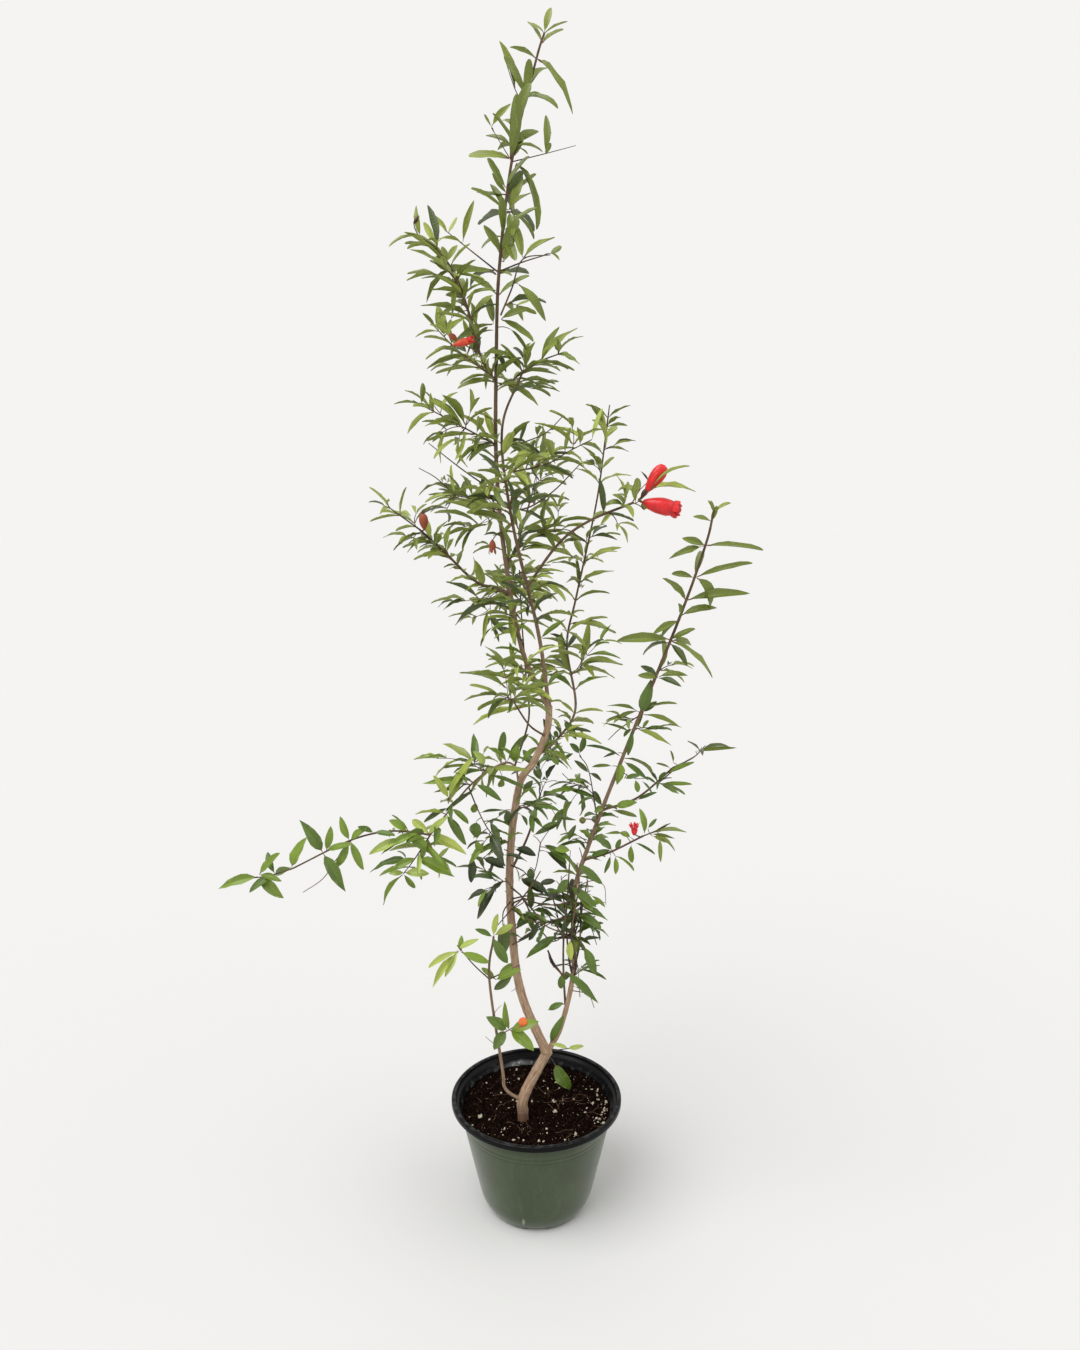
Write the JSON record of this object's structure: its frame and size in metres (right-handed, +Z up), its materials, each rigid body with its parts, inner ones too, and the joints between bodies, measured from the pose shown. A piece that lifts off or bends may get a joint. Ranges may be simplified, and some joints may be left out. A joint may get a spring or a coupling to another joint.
{
  "type": "pomegranate tree",
  "caption": "Young pomegranate tree in a round nursery pot, with slender crooked stems, an open leafy crown and a few scarlet flowers.",
  "frame": {"origin": "middle of the pot's flat underside", "axes": "+Z up, +X to the right and +Y to the back as the tree is seen from the front"},
  "size_m": [0.49, 0.2053, 1.0711],
  "materials": {
    "moulded_pot": "satin",
    "potting_soil": "matte",
    "bark": "matte",
    "foliage": "satin"
  },
  "bodies": {
    "root": {"pot": "moulded_pot", "soil": "potting_soil", "trunk": "bark", "main_stem": "bark", "leader": "bark", "second_leader": "bark", "right_stem": "bark", "side_stem": "bark", "low_bough": "bark", "arching_shoot": "bark", "upper_left_bough": "bark", "flower_bough": "bark", "inner_right_bough": "bark", "right_low_bough": "bark", "right_high_bough": "bark", "high_left_bough": "bark", "back_bough": "bark", "back_low_bough": "bark", "front_bough": "bark", "arching_tips": "foliage", "back_high_spray": "foliage", "back_low_spray": "foliage", "back_mid_spray": "foliage", "far_left_spray": "foliage", "first_whorl": "foliage", "flower_spray": "foliage", "fork_spray": "foliage", "fork_tuft": "foliage", "front_high_spray": "foliage", "front_mid_spray": "foliage", "hanging_spray": "foliage", "heart_foot_spray": "foliage", "heart_inner_spray": "foliage", "heart_left_spray": "foliage", "heart_low_spray": "foliage", "heart_mid_spray": "foliage", "heart_right_spray": "foliage", "high_left_spray": "foliage", "inner_tip_spray": "foliage", "left_high_spray": "foliage", "left_low_spray": "foliage", "left_mid_spray": "foliage", "mid_low_spray": "foliage", "mid_spray": "foliage", "near_left_spray": "foliage", "right_high_spray": "foliage", "right_high_tips": "foliage", "right_low_spray": "foliage", "right_low_tips": "foliage", "right_mid_spray": "foliage", "right_mid_tuft": "foliage", "right_stem_spray": "foliage", "right_top_spray": "foliage", "second_whorl": "foliage", "side_low_tuft": "foliage", "side_tuft": "foliage", "third_whorl": "foliage", "tip_tuft": "foliage", "top_left_spray": "foliage", "top_right_spray": "foliage"}
  },
  "joints": []
}
